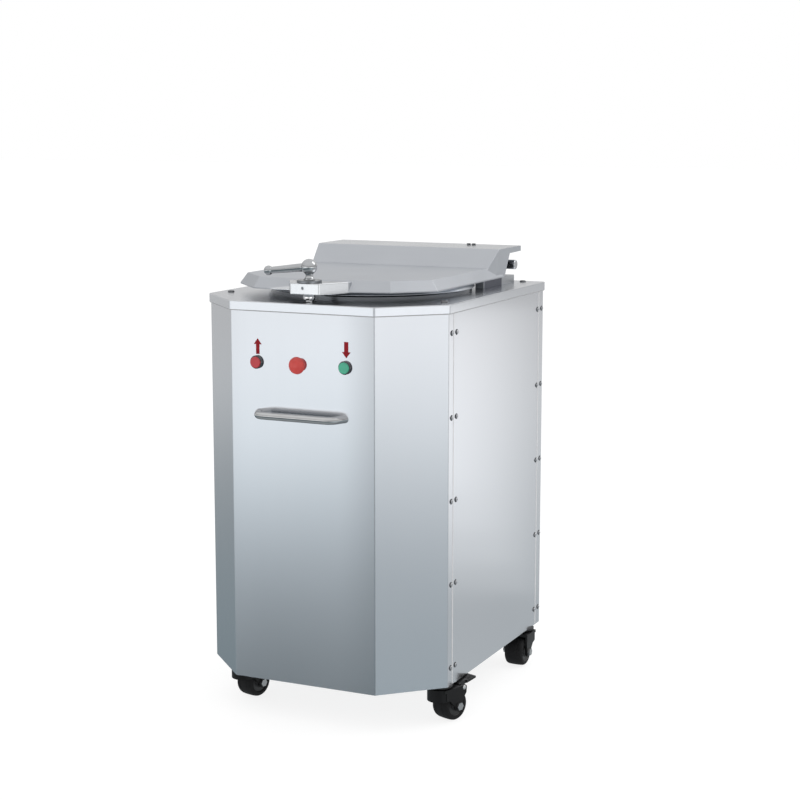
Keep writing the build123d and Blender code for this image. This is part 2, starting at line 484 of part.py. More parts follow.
def wheel():
    w = cx(WHEEL_R, -WHEEL_W / 2, WHEEL_W / 2, TRAIL, WHEEL_R)
    w = fillet(w.edges().filter_by(GeomType.CIRCLE), 5.5)
    for sx in (-1, 1):
        x0, x1 = sorted((sx * (WHEEL_W / 2 - 5), sx * (WHEEL_W / 2 + 1)))
        w -= cx(26, x0, x1, TRAIL, WHEEL_R) - cx(12, x0, x1, TRAIL, WHEEL_R)
    return w - cx(AXLE_R + RUN_CLEAR, -60, 60, TRAIL, WHEEL_R)

def axle():
    a = cx(AXLE_R, -FORK_OUT, FORK_OUT, TRAIL, WHEEL_R)
    return a + hexx(17, FORK_OUT, FORK_OUT + 5.5, TRAIL, WHEEL_R) + hexx(17, -FORK_OUT - 5.5, -FORK_OUT, TRAIL, WHEEL_R)

def pedal():
    p = cx(7, -20, 20, PEDAL_Y, PEDAL_Z) + side([(PEDAL_Y, 72.4), (PEDAL_Y, 85.6), (84, 88.0), (84, 81.5), (66, 75.5)], -12, 12)
    tip = side([(76, 79.8), (108, 86.2), (108, 90.4), (76, 87.0)], -15.5, 15.5)
    tip = fillet(tip.edges().filter_by(Axis.Z), 1.5)
    for k in range(4):
        y0 = 84 + 5.6 * k
        tip += side([(y0, 86.5), (y0, 88.75 + 0.106 * (y0 - 84)), (y0 + 2.4, 88.95 + 0.106 * (y0 - 84)), (y0 + 2.4, 86.5)], -12.5, 12.5)
    return p + tip + cx(4, -FORK_OUT, FORK_OUT, PEDAL_Y, PEDAL_Z)

# ---------------------------------------------------------------- nodes
put("base_plate", base_plate)
put("frame_posts", *posts)
put("bridge_rails", *rails)
put("front_panel", front_panel)
put("side_panel_left", side_left)
put("side_panel_right", side_right)
put("rear_panel", rear_panel)
put("panel_screws", *screws)
put("table_top", table)
put("table_bolts", *tbolts)
put("bowl", bowl)
put("hinge_base_left", hinge_base(-1))
put("hinge_base_right", hinge_base(1))
put("cable_gland", gland)
put("button_bezels", bezel(BTNS[0]), bezel(BTNS[2]))
put("estop_collar", ecollar)
put("arrow_labels", arrow(BTNS[0] - 0.3, 815.2, 778.6, 14.0, 20.5, 9.0), arrow(BTNS[2] + 0.3, 781.6, 818.6, 14.0, 22.0, 10.6))
put("contact_blocks", *cblocks)
put("front_handle", handle)
put("castor_races", *[place(k, race) for k in CASTORS])
put("ram_bridge", bridge_plate)
put("press_cylinder", pcyl)
put("knife_cylinders", *kcyls)
put("oil_tank", tank)
put("pump_motor", motor)
put("valve_block", vblock)
put("oil_pipes", *pipes)
put("control_box", cbox)
put("lid_casting", lid_casting)
put("lid_disc", lid_disc)
put("hinge_shaft", shaft)
put("shaft_screws", *bscrews)
put("latch_collar", collar)
put("latch_lever", lever)
put("latch_spindle", spindle)
put("press_segments", outer, inner)
put("press_posts", *pposts)
put("press_spider", spider)
put("press_ram", ram)
put("knife_blades", *blades)
put("knife_ring", kring)
put("knife_carrier", carrier)
put("knife_rods", *krods)
put("up_button", button(BTNS[0]))
put("down_button", button(BTNS[2]))
put("estop_head", estop)
for key in CASTORS:
    put("castor_fork_" + key, place(key, fork(key in ("fl", "fr"))))
    put("castor_wheel_" + key, place(key, wheel()))
    put("castor_axle_" + key, place(key, axle()))
for key in ("fl", "fr"):
    put("brake_pedal_" + key, place(key, pedal()))

os.makedirs("parts", exist_ok=True)
for name, solids in NODES.items():
    shape = solids[0] if len(solids) == 1 else Compound(children=solids)
    export_step(shape, "parts/" + name + ".step")

lo = [min(tuple(s.bounding_box().min)[i] for v in NODES.values() for s in v) for i in range(3)]
hi = [max(tuple(s.bounding_box().max)[i] for v in NODES.values() for s in v) for i in range(3)]
print("nodes", len(NODES), "box", [round(v, 2) for v in lo], [round(v, 2) for v in hi])
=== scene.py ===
import bpy
import bmesh
import math
from mathutils import Vector, Matrix


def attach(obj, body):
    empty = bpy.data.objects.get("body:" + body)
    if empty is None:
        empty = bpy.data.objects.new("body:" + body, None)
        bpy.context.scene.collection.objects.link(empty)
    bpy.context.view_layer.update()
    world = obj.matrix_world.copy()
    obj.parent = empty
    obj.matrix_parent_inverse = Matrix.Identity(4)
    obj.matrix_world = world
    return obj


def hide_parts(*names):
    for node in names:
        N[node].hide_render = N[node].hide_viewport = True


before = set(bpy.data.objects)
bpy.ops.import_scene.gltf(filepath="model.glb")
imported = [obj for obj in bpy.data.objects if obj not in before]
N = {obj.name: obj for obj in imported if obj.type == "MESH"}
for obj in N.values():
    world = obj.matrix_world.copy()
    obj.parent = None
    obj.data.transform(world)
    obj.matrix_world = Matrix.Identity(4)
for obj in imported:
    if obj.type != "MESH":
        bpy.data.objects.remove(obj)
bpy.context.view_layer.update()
SC = bpy.context.scene
COL = SC.collection

# The dough divider's own places, in metres: X to the right, Y to the back, Z up.
YS = 0.0115
Z_T = 0.992
W2, D2 = 0.3125, 0.367
LATCH = Vector((0.0, -0.326 + YS, 0.0))
BTN_Z = 0.8527
BTN_UP, BTN_DOWN = -0.1135, 0.1143
CASTOR = {"fl": (-0.2190, -0.2690 + YS, -14.0), "fr": (0.2855, -0.2231 + YS, -20.0),
          "rl": (-0.29958, 0.2990 + YS, 180.0), "rr": (0.2905, 0.2990 + YS, 180.0)}
SEAM_F, SEAM_R = -0.2150 + YS, 0.3325 + YS
TRAIL, WHEEL_R = 0.032, 0.037


# ------------------------------------------------------------------ materials
class Mat:
    """A node material with a Principled shader and a few short ways to wire it."""

    def __init__(self, name):
        self.m = bpy.data.materials.new(name)
        self.m.use_nodes = True
        self.t = self.m.node_tree
        self.b = next(n for n in self.t.nodes if n.type == "BSDF_PRINCIPLED")
        self.tc = self.t.nodes.new("ShaderNodeTexCoord")

    def node(self, kind, **props):
        n = self.t.nodes.new(kind)
        for k, v in props.items():
            setattr(n, k, v)
        return n

    def link(self, a, b):
        self.t.links.new(a, b)

    def set(self, **vals):
        for k, v in vals.items():
            self.b.inputs[k.replace("_", " ")].default_value = v
        return self

    def mapped(self, scale, rot=(0, 0, 0), loc=(0, 0, 0)):
        mp = self.node("ShaderNodeMapping")
        mp.inputs["Scale"].default_value = scale
        mp.inputs["Rotation"].default_value = rot
        mp.inputs["Location"].default_value = loc
        self.link(self.tc.outputs["Object"], mp.inputs["Vector"])
        return mp.outputs["Vector"]

    def noise(self, scale, detail=3.0, rough=0.5, vec=None, distort=0.0):
        n = self.node("ShaderNodeTexNoise")
        n.inputs["Scale"].default_value = scale
        n.inputs["Detail"].default_value = detail
        n.inputs["Roughness"].default_value = rough
        n.inputs["Distortion"].default_value = distort
        self.link(vec if vec is not None else self.tc.outputs["Object"], n.inputs["Vector"])
        return n.outputs["Fac"]

    def voronoi(self, scale, vec=None, feature="F1"):
        n = self.node("ShaderNodeTexVoronoi", feature=feature)
        n.inputs["Scale"].default_value = scale
        self.link(vec if vec is not None else self.tc.outputs["Object"], n.inputs["Vector"])
        return n.outputs["Distance"]

    def ramp(self, fac, stops, interp="LINEAR"):
        r = self.node("ShaderNodeValToRGB")
        r.color_ramp.interpolation = interp
        el = r.color_ramp.elements
        while len(el) < len(stops):
            el.new(0.5)
        for e, (p, c) in zip(el, stops):
            e.position = p
            e.color = (*c, 1.0)
        self.link(fac, r.inputs["Fac"])
        return r.outputs["Color"]

    def remap(self, fac, lo, hi, a, b):
        r = self.node("ShaderNodeMapRange")
        r.inputs["From Min"].default_value = lo
        r.inputs["From Max"].default_value = hi
        r.inputs["To Min"].default_value = a
        r.inputs["To Max"].default_value = b
        self.link(fac, r.inputs["Value"])
        return r.outputs["Result"]

    def mixc(self, a, b, fac, mode="MIX"):
        x = self.node("ShaderNodeMix", data_type="RGBA", blend_type=mode)
        for v, i in ((a, 6), (b, 7)):
            if isinstance(v, tuple):
                x.inputs[i].default_value = (*v, 1.0)
            else:
                self.link(v, x.inputs[i])
        if isinstance(fac, (int, float)):
            x.inputs[0].default_value = fac
        else:
            self.link(fac, x.inputs[0])
        return x.outputs[2]

    def math(self, op, a, b=None):
        x = self.node("ShaderNodeMath", operation=op)
        for i, v in enumerate((a, b)):
            if v is None:
                continue
            if isinstance(v, (int, float)):
                x.inputs[i].default_value = v
            else:
                self.link(v, x.inputs[i])
        return x.outputs[0]

    def color(self, out):
        self.link(out, self.b.inputs["Base Color"])

    def rough(self, out):
        self.link(out, self.b.inputs["Roughness"])

    def bump(self, *layers, base=None):
        """Layers of (height socket, strength, distance in metres)."""
        prev = base
        for h, s, d in layers:
            bm = self.node("ShaderNodeBump")
            bm.inputs["Strength"].default_value = s
            bm.inputs["Distance"].default_value = d
            self.link(h, bm.inputs["Height"])
            if prev is not None:
                self.link(prev, bm.inputs["Normal"])
            prev = bm.outputs["Normal"]
        self.link(prev, self.b.inputs["Normal"])


def satin_sheet(name, lo, hi, r0, r1, along="Z", bump=0.025, bend=()):
    """Satin stainless sheet: hair-fine grain along one axis, faint broad streaks and soft patches.
    Each (x0, x1, drop) in bend lets the sheet fall away softly by drop metres from x = x0 to its bend at x = x1."""
    k = Mat(name).set(Metallic=1.0)
    fine_s = {"X": (22.0, 2400.0, 2400.0), "Y": (2400.0, 22.0, 2400.0), "Z": (2400.0, 2400.0, 22.0)}[along]
    wide_s = {"X": (0.9, 70.0, 70.0), "Y": (70.0, 0.9, 70.0), "Z": (70.0, 70.0, 0.9)}[along]
    fine = k.noise(1.0, 3.0, 0.6, k.mapped(fine_s))
    broad = k.noise(1.0, 3.0, 0.5, k.mapped(wide_s))
    patch = k.noise(2.1, 2.0, 0.4)
    both = k.math("ADD", k.math("MULTIPLY", broad, 0.5), k.math("MULTIPLY", patch, 0.5))
    k.color(k.ramp(both, [(0.34, lo), (0.66, hi)]))
    k.rough(k.math("ADD", k.remap(patch, 0.3, 0.7, r0, r1), k.math("ADD", k.math("MULTIPLY", fine, 0.015), 0.0075)))
    layers = [(fine, bump, 0.00004)]
    for x0, x1, drop in bend:
        sp = k.node("ShaderNodeSeparateXYZ")
        k.link(k.tc.outputs["Object"], sp.inputs[0])
        near = k.remap(sp.outputs["X"], x0, x1, 0.0, 1.0)
        layers.append((k.math("SUBTRACT", 1.0, k.math("MULTIPLY", near, near)), 1.0, drop))
    k.bump(*layers)
    return k.m


def cast_metal(name, lo, hi, r0, r1, pit=0.12, machined=None, shelf=None, dark=None):
    """Cast and lightly machined aluminium: fine grain, faint cloudiness and pits, slightly rounded edges.
    In front of the line y = machined the faces are milled brighter and smoother, and above z = shelf the top strip gets
    that finish too, its brighter colour partly painted light on its upward face;
    between y = dark[0] and y = dark[1] the colour is painted shade dark[2], standing in for the shade under the lid's
    overhang."""
    k = Mat(name).set(Metallic=1.0)
    grain = k.noise(700.0, 3.0, 0.7)
    cloud = k.noise(6.0, 4.0, 0.55, distort=0.3)
    pits = k.voronoi(420.0)
    col = k.ramp(cloud, [(0.30, lo), (0.70, hi)])
    rgh = k.remap(cloud, 0.3, 0.7, r0, r1)
    if machined is not None:
        sp = k.node("ShaderNodeSeparateXYZ")
        k.link(k.tc.outputs["Object"], sp.inputs[0])
        front = k.remap(sp.outputs["Y"], machined, machined - 0.002, 0.0, 1.0)
        # Above z = shelf the brighter colour is partly milled finish and partly painted light on the top strip's upward
        # face.
        if shelf is not None:
            front = k.math("MAXIMUM", front, k.math("MULTIPLY", k.remap(sp.outputs["Z"], shelf - 0.0006, shelf - 0.0001, 0.0, 1.0), 0.85))
        lines = k.noise(1.0, 2.0, 0.5, k.mapped((40.0, 40.0, 1800.0)))
        col = k.mixc(col, k.ramp(lines, [(0.3, (0.60, 0.615, 0.635)), (0.7, (0.65, 0.665, 0.685))]), front)
        rgh = k.math("SUBTRACT", rgh, k.math("MULTIPLY", front, 0.28))
    # Painted shade: between dark[0] and dark[1] the colour turns dark, standing in for the shade under the lid's
    # overhang.
    if dark is not None:
        sp = k.node("ShaderNodeSeparateXYZ")
        k.link(k.tc.outputs["Object"], sp.inputs[0])
        under_lid_shade = k.math("MULTIPLY", k.remap(sp.outputs["Y"], dark[0], dark[0] + 0.0004, 0.0, 1.0), k.remap(sp.outputs["Y"], dark[1] + 0.001, dark[1] - 0.001, 0.0, 1.0))
        col = k.mixc(col, dark[2], under_lid_shade)
    k.color(col)
    k.rough(rgh)
    edge = k.node("ShaderNodeBevel", samples=6)
    edge.inputs["Radius"].default_value = 0.0026
    k.bump((grain, pit, 0.00012), (pits, pit * 0.5, 0.0001), base=edge.outputs["Normal"])
    return k.m


def bright_metal(name, lo, hi, r0, r1, scratch=0.03, rim=None):
    """Polished or plated metal with faint hairlines and slightly dulled patches.
    Beyond the distance rim[0] from the machine's upright axis the colour is painted shade rim[1], standing in for the
    shade under the lid disc."""
    k = Mat(name).set(Metallic=1.0)
    hair = k.noise(1.0, 4.0, 0.7, k.mapped((900.0, 60.0, 900.0), rot=(0.3, 0.2, 0.5)))
    patch = k.noise(22.0, 4.0, 0.6)
    col = k.ramp(patch, [(0.3, lo), (0.7, hi)])
    # Painted shade: beyond rim[0] the colour turns dark, standing in for the shade under the lid disc.
    if rim is not None:
        sp = k.node("ShaderNodeSeparateXYZ")
        k.link(k.tc.outputs["Object"], sp.inputs[0])
        dx, dy = sp.outputs["X"], k.math("SUBTRACT", sp.outputs["Y"], YS)
        away = k.math("SQRT", k.math("ADD", k.math("MULTIPLY", dx, dx), k.math("MULTIPLY", dy, dy)))
        col = k.mixc(col, rim[1], k.remap(away, rim[0], rim[0] + 0.001, 0.0, 1.0))
    k.color(col)
    k.rough(k.remap(patch, 0.3, 0.7, r0, r1))
    k.bump((hair, scratch, 0.0001))
    return k.m


def moulded(name, lo, hi, r0, r1, grain=1400.0, bump=0.10, coat=0.0, spec=0.5):
    """Moulded plastic with a fine texture, small tone changes and dulled patches."""
    k = Mat(name).set(Metallic=0.0)
    k.b.inputs["Specular IOR Level"].default_value = spec
    k.b.inputs["Coat Weight"].default_value = coat
    k.b.inputs["Coat Roughness"].default_value = 0.08
    g = k.noise(grain, 3.0, 0.6)
    c = k.noise(60.0, 4.0, 0.6)
    k.color(k.ramp(c, [(0.3, lo), (0.7, hi)]))
    k.rough(k.remap(c, 0.3, 0.7, r0, r1))
    k.bump((g, bump, 0.00015))
    return k.m


def painted(name, lo, hi, r0, r1, peel=0.10, wear=None, spec=0.5):
    """Paint over steel: orange peel, tone changes and a few rubbed spots."""
    k = Mat(name).set(Metallic=0.0)
    k.b.inputs["Specular IOR Level"].default_value = spec
    peel_n = k.noise(320.0, 2.0, 0.5)
    c = k.noise(14.0, 4.0, 0.6)
    col = k.ramp(c, [(0.3, lo), (0.7, hi)])
    if wear:
        spot = k.ramp(k.noise(75.0, 6.0, 0.7), [(0.66, (0, 0, 0)), (0.72, (1, 1, 1))])
        col = k.mixc(col, wear, spot)
    k.color(col)
    k.rough(k.remap(c, 0.3, 0.7, r0, r1))
    k.bump((peel_n, peel, 0.0003))
    return k.m


def rubber(name, lo, hi, spec=0.35):
    k = Mat(name).set(Metallic=0.0)
    k.b.inputs["Specular IOR Level"].default_value = spec
    dust = k.noise(55.0, 6.0, 0.65, distort=0.4)
    fine = k.noise(1500.0, 3.0, 0.6)
    k.color(k.ramp(dust, [(0.35, lo), (0.75, hi)]))
    k.rough(k.remap(dust, 0.3, 0.7, 0.50, 0.72))
    k.bump((fine, 0.12, 0.0002), (dust, 0.05, 0.0004))
    return k.m


M = {}
M["panel"] = satin_sheet("satin_stainless_panel", (0.606, 0.618, 0.647), (0.614, 0.626, 0.655), 0.205, 0.23)
M["front"] = satin_sheet("satin_stainless_front", (0.606, 0.618, 0.647), (0.614, 0.626, 0.655), 0.205, 0.23, bend=((0.095, 0.183, 0.0067), (-0.120, -0.183, 0.0018)))
M["table"] = satin_sheet("satin_stainless_table", (0.600, 0.616, 0.646), (0.624, 0.640, 0.670), 0.185, 0.21, along="X")
M["disc"] = satin_sheet("turned_disc", (0.50, 0.525, 0.56), (0.56, 0.585, 0.62), 0.24, 0.32, along="Y")
# The bowl's outer rim carries painted shade for the shade under the lid disc.
M["bowl"] = bright_metal("bowl_stainless", (0.58, 0.59, 0.61), (0.64, 0.65, 0.67), 0.18, 0.26, rim=(0.2385, (0.20, 0.21, 0.225)))
# The casting's top strip above shelf is painted lighter: partly milled finish, partly painted light.
M["cast"] = cast_metal("cast_aluminium", (0.487, 0.506, 0.537), (0.527, 0.546, 0.577), 0.44, 0.50, pit=0.10, machined=-0.2675, shelf=Z_T + 0.0915)
# The hinge bases carry painted shade from y = 0.1382 to 0.2515, where they stand under the lid's overhang.
M["hinge"] = cast_metal("cast_hinge_base", (0.46, 0.475, 0.495), (0.50, 0.515, 0.535), 0.34, 0.40, pit=0.10, dark=(0.1382, 0.2515, (0.115, 0.122, 0.15)))
M["chrome"] = bright_metal("chrome_plate", (0.72, 0.73, 0.74), (0.80, 0.81, 0.82), 0.04, 0.08, scratch=0.015)
# The handle and lever chrome are darker copies of chrome_plate: painted shade standing in for the dark surroundings
# they reflect.
M["handle"] = bright_metal("handle_chrome", (0.50, 0.505, 0.51), (0.58, 0.585, 0.59), 0.05, 0.09, scratch=0.02)
M["lever"] = bright_metal("lever_chrome_painted_shade", (0.43, 0.44, 0.455), (0.51, 0.52, 0.53), 0.05, 0.10, scratch=0.02)
M["bezel"] = bright_metal("dark_chrome", (0.085, 0.087, 0.092), (0.13, 0.132, 0.138), 0.12, 0.20, scratch=0.03)
M["zinc"] = bright_metal("zinc_plate", (0.55, 0.56, 0.57), (0.68, 0.68, 0.67), 0.22, 0.36, scratch=0.08)
M["axle"] = bright_metal("dull_axle", (0.40, 0.405, 0.41), (0.48, 0.485, 0.49), 0.32, 0.44, scratch=0.08)
M["bolt"] = bright_metal("dark_bolt", (0.13, 0.135, 0.145), (0.20, 0.205, 0.215), 0.30, 0.42, scratch=0.08)
M["ground"] = bright_metal("ground_steel", (0.50, 0.51, 0.53), (0.60, 0.61, 0.63), 0.18, 0.30, scratch=0.06)
M["screw"] = bright_metal("screw_steel", (0.42, 0.43, 0.45), (0.56, 0.57, 0.59), 0.22, 0.36, scratch=0.10)
M["gasket"] = rubber("dark_gasket", (0.030, 0.031, 0.034), (0.055, 0.056, 0.060))
# Grey strip under the table's edge: painted shade for the shadow line there.
M["sealant"] = rubber("grey_shade_strip", (0.33, 0.335, 0.345), (0.42, 0.425, 0.435), spec=0.3)
# Pale beads on the panel joints: painted highlight for the bright seam lines.
M["bead"] = rubber("pale_highlight_bead", (0.62, 0.625, 0.63), (0.72, 0.725, 0.73), spec=0.3)
M["frame"] = painted("frame_grey_paint", (0.10, 0.11, 0.12), (0.15, 0.16, 0.17), 0.42, 0.55, wear=(0.30, 0.30, 0.31))
M["hyd"] = painted("hydraulic_paint", (0.030, 0.045, 0.075), (0.050, 0.070, 0.105), 0.35, 0.50, wear=(0.20, 0.20, 0.21))
M["fork"] = painted("castor_black_paint", (0.0030, 0.0030, 0.0033), (0.0060, 0.0060, 0.0065), 0.34, 0.46, wear=(0.016, 0.016, 0.016), spec=0.22)
M["tyre"] = rubber("castor_tread", (0.005, 0.005, 0.0055), (0.012, 0.012, 0.0125), spec=0.2)
M["hub"] = moulded("castor_hub", (0.010, 0.010, 0.0105), (0.019, 0.019, 0.0195), 0.36, 0.48)
M["black"] = moulded("black_plastic", (0.0045, 0.0045, 0.005), (0.010, 0.010, 0.0105), 0.32, 0.45)
M["red"] = moulded("red_plastic", (0.40, 0.018, 0.026), (0.48, 0.028, 0.036), 0.26, 0.36, bump=0.04, coat=0.15)
M["stop"] = moulded("stop_red_plastic", (0.52, 0.044, 0.038), (0.60, 0.060, 0.050), 0.34, 0.44, bump=0.05, coat=0.10)
M["green"] = moulded("green_plastic", (0.036, 0.33, 0.20), (0.055, 0.41, 0.26), 0.26, 0.36, bump=0.04, coat=0.15)
M["print"] = moulded("arrow_print", (0.22, 0.004, 0.010), (0.31, 0.008, 0.015), 0.45, 0.56, bump=0.03, spec=0.2)
M["food"] = moulded("food_plastic", (0.70, 0.69, 0.65), (0.80, 0.79, 0.75), 0.40, 0.55, grain=900.0, bump=0.08)

NODE_MAT = {
    "front": ["front_panel"],
    "panel": ["side_panel_left", "side_panel_right", "rear_panel"],
    "table": ["table_top"],
    "disc": ["lid_disc"],
    "bowl": ["bowl", "latch_collar"],
    "cast": ["lid_casting"],
    "hinge": ["hinge_base_left", "hinge_base_right"],
    "handle": ["front_handle"],
    "chrome": ["latch_spindle"],
    "lever": ["latch_lever"],
    "bezel": ["button_bezels"],
    "zinc": ["oil_pipes"],
    "axle": ["castor_axle_fl", "castor_axle_fr", "castor_axle_rl", "castor_axle_rr"],
    "bolt": ["table_bolts", "shaft_screws"],
    "ground": ["hinge_shaft", "press_posts", "press_spider", "press_ram", "knife_blades", "knife_ring", "knife_carrier", "knife_rods"],
    "screw": ["panel_screws"],
    "frame": ["base_plate", "frame_posts", "bridge_rails", "ram_bridge", "control_box"],
    "hyd": ["oil_tank", "pump_motor", "valve_block", "press_cylinder", "knife_cylinders"],
    "fork": ["castor_fork_fl", "castor_fork_fr", "castor_fork_rl", "castor_fork_rr"],
    "tyre": ["castor_wheel_fl", "castor_wheel_fr", "castor_wheel_rl", "castor_wheel_rr"],
    "black": ["cable_gland", "castor_races", "contact_blocks", "brake_pedal_fl", "brake_pedal_fr"],
    "red": ["up_button", "estop_collar"],
    "stop": ["estop_head"],
    "green": ["down_button"],
    "print": ["arrow_labels"],
    "food": ["press_segments"],
}
for key, names in NODE_MAT.items():
    for n in names:
        o = N[n]
        o.data.materials.clear()
        o.data.materials.append(M[key])

# The small controls leave no image of themselves in the satin panel behind them.
for n in ("estop_head", "estop_collar", "button_bezels", "up_button", "down_button"):
    N[n].visible_glossy = False


# ------------------------------------------------------------------ added pieces
def piece(name, bm, mats, body, sharp=32.0):
    me = bpy.data.meshes.new(name)
    bmesh.ops.recalc_face_normals(bm, faces=bm.faces)
    bm.to_mesh(me)
    bm.free()
    for m in mats:
        me.materials.append(m)
    me.shade_smooth()
    me.set_sharp_from_angle(angle=math.radians(sharp))
    o = bpy.data.objects.new(name, me)
    COL.objects.link(o)
    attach(o, body)
    return o


def turn(bm, prof, place, seg=64, mat=0, closed=True):
    """Turns a profile of (height, radius, material) points about the local Z of place."""
    rings = []
    for h, r, *_ in prof:
        if r < 1e-7:
            rings.append([bm.verts.new(place @ Vector((0, 0, h)))])
        else:
            rings.append([bm.verts.new(place @ Vector((r * math.cos(2 * math.pi * i / seg), r * math.sin(2 * math.pi * i / seg), h))) for i in range(seg)])
    pairs = list(zip(range(len(prof)), range(1, len(prof))))
    if closed:
        pairs.append((len(prof) - 1, 0))
    for i, j in pairs:
        a, b = rings[i], rings[j]
        mi = prof[i][2] if len(prof[i]) > 2 else mat
        if len(a) == 1 and len(b) == 1:
            continue
        for k in range(seg):
            k2 = (k + 1) % seg
            if len(a) == 1:
                f = bm.faces.new((a[0], b[k], b[k2]))
            elif len(b) == 1:
                f = bm.faces.new((a[k], b[0], a[k2]))
            else:
                f = bm.faces.new((a[k], b[k], b[k2], a[k2]))
            f.material_index = mi


def frame_at(origin, zdir):
    z = Vector(zdir).normalized()
    return Matrix.Translation(Vector(origin)) @ z.to_track_quat("Z", "Y").to_matrix().to_4x4()


def castor_point(key, x, y, z):
    cx, cy, a = CASTOR[key]
    a = math.radians(a)
    return Vector((cx + x * math.cos(a) - y * math.sin(a), cy + x * math.sin(a) + y * math.cos(a), z))


def castor_axis(key):
    a = math.radians(CASTOR[key][2])
    return Vector((math.cos(a), math.sin(a), 0.0))


# Castor wheels: a crowned tread with two shallow rings, on a ribbed hub with a flush boss.
HALF = [(0.0249, 0.00635, 1), (0.0249, 0.0125, 1), (0.0240, 0.0135, 1), (0.0216, 0.0142, 1), (0.0212, 0.0235, 1), (0.0226, 0.0246, 1),
        (0.0240, 0.0256, 0), (0.0243, 0.0300, 0), (0.0236, 0.0320, 0), (0.0222, 0.0340, 0), (0.0198, 0.0356, 0), (0.0165, 0.0364, 0),
        (0.0122, 0.03675, 0), (0.0114, 0.0361, 0), (0.0102, 0.0361, 0), (0.0094, 0.03685, 0), (0.0040, 0.0370, 0)]
for key in CASTOR:
    prof = [(-h, r, m) for h, r, m in HALF] + [(h, r, m) for h, r, m in reversed(HALF)]
    prof = [(h, r, (1 if abs(h) > 0.0209 and r < 0.0250 else 0)) for h, r, m in prof]
    at = frame_at(castor_point(key, 0, TRAIL, WHEEL_R), castor_axis(key))
    bm = bmesh.new()
    turn(bm, prof, at, seg=96)
    w = piece("wheel_" + key, bm, [M["tyre"], M["hub"]], "roller_" + key)
    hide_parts("castor_wheel_" + key)

# Rivet heads on the ends of the brake pedals' pivots.
for key in ("fl", "fr"):
    bm = bmesh.new()
    for sx in (-1, 1):
        at = frame_at(castor_point(key, sx * 0.0313, 0.0495, 0.079), castor_axis(key) * sx)
        turn(bm, [(0, 0.0), (0, 0.0052), (0.0009, 0.0051), (0.0019, 0.0040), (0.0025, 0.0022), (0.0027, 0.0)], at, seg=32, closed=False)
    piece("pedal_rivets_" + key, bm, [M["zinc"]], "pedal_" + key)

# Dark washers under the panel screws.
bm = bmesh.new()
for sx in (-1, 1):
    for z in (0.043, 0.2435, 0.4415, 0.6375, 0.833):
        for y in (-0.2255, -0.198, 0.3235, 0.3525):
            at = frame_at((sx * W2, y + YS, z + 0.092), (sx, 0, 0))
            turn(bm, [(0.0, 0.0046), (0.0, 0.0067), (0.0005, 0.0066), (0.0008, 0.0062), (0.0008, 0.0046)], at, seg=32)
piece("screw_washers", bm, [M["gasket"]], "cabinet")

# Grey strip between the table's turned-down edge and the panels: painted shade standing in for the thin shadow line
# under the table's edge.
PLAN = [(-(W2 - 0.128), -D2), (W2 - 0.128, -D2), (W2, -D2 + 0.125), (W2, D2), (-W2, D2), (-W2, -D2 + 0.125)]


def rounded(pts, off, rad, n=8):
    """The convex outline moved out by off, corners rounded by rad."""
    out = []
    m = len(pts)
    for i in range(m):
        p0, p, p1 = Vector(pts[i - 1]), Vector(pts[i]), Vector(pts[(i + 1) % m])
        u, v = (p - p0).normalized(), (p1 - p).normalized()
        n0, n1 = Vector((u.y, -u.x)), Vector((v.y, -v.x))
        c = p + (n0 + n1) * (off / (1 + n0.dot(n1)))
        half = math.acos(max(-1, min(1, u.dot(v)))) / 2
        t = rad * math.tan(half)
        mid = c - u * t - n0 * rad
        a0 = math.atan2(n0.y, n0.x)
        for k in range(n + 1):
            a = a0 + 2 * half * k / n
            out.append((mid.x + rad * math.cos(a), mid.y + rad * math.sin(a) + YS))
    return out


bm = bmesh.new()
loops = []
for off, z in ((0.0004, -0.0224), (0.0026, -0.0224), (0.0032, -0.0218), (0.0032, -0.0199), (0.0004, -0.0199)):
    loops.append([bm.verts.new((x, y, Z_T + z)) for x, y in rounded(PLAN, off, 0.005 + off)])
for i in range(len(loops)):
    a, b = loops[i], loops[(i + 1) % len(loops)]
    for k in range(len(a)):
        bm.faces.new((a[k], b[k], b[(k + 1) % len(a)], a[(k + 1) % len(a)]))
piece("table_shade_strip", bm, [M["sealant"]], "cabinet")

# Pale beads along the joints of the side panels: painted highlight standing in for the bright line at the panel edges.
BEAD = [(-0.0017, -0.0002), (-0.0015, 0.0003), (-0.0008, 0.0007), (0.0, 0.0008), (0.0008, 0.0007), (0.0015, 0.0003), (0.0017, -0.0002)]
bm = bmesh.new()
for sx in (-1, 1):
    for y in (SEAM_F, SEAM_R):
        rows = []
        for z in (0.0945, 0.0950, 0.9690, 0.9695):
            q = 0.6 if z in (0.0945, 0.9695) else 1.0
            rows.append([bm.verts.new((sx * (W2 + dx * q), y + dy * q, z)) for dy, dx in BEAD])
        for a, b in zip(rows, rows[1:]):
            for k in range(len(BEAD)):
                k2 = (k + 1) % len(BEAD)
                bm.faces.new((a[k], a[k2], b[k2], b[k]))
        bm.faces.new(rows[0])
        bm.faces.new(rows[-1])
piece("seam_highlight_beads", bm, [M["bead"]], "cabinet")

# Black rings between the push buttons and their bezels: painted shade standing in for the shadow in the gap round each
# cap.
for tag, x in (("up", BTN_UP), ("down", BTN_DOWN)):
    bm = bmesh.new()
    at = frame_at((x, -D2 + YS, BTN_Z), (0, -1, 0))
    turn(bm, [(0.0085, 0.01312), (0.0107, 0.01312), (0.0114, 0.0133), (0.0116, 0.0138), (0.0113, 0.0142), (0.01052, 0.0143), (0.01052, 0.01338), (0.0085, 0.01338)], at, seg=64)
    piece("button_shade_ring_" + tag, bm, [M["black"]], "cabinet").visible_glossy = False


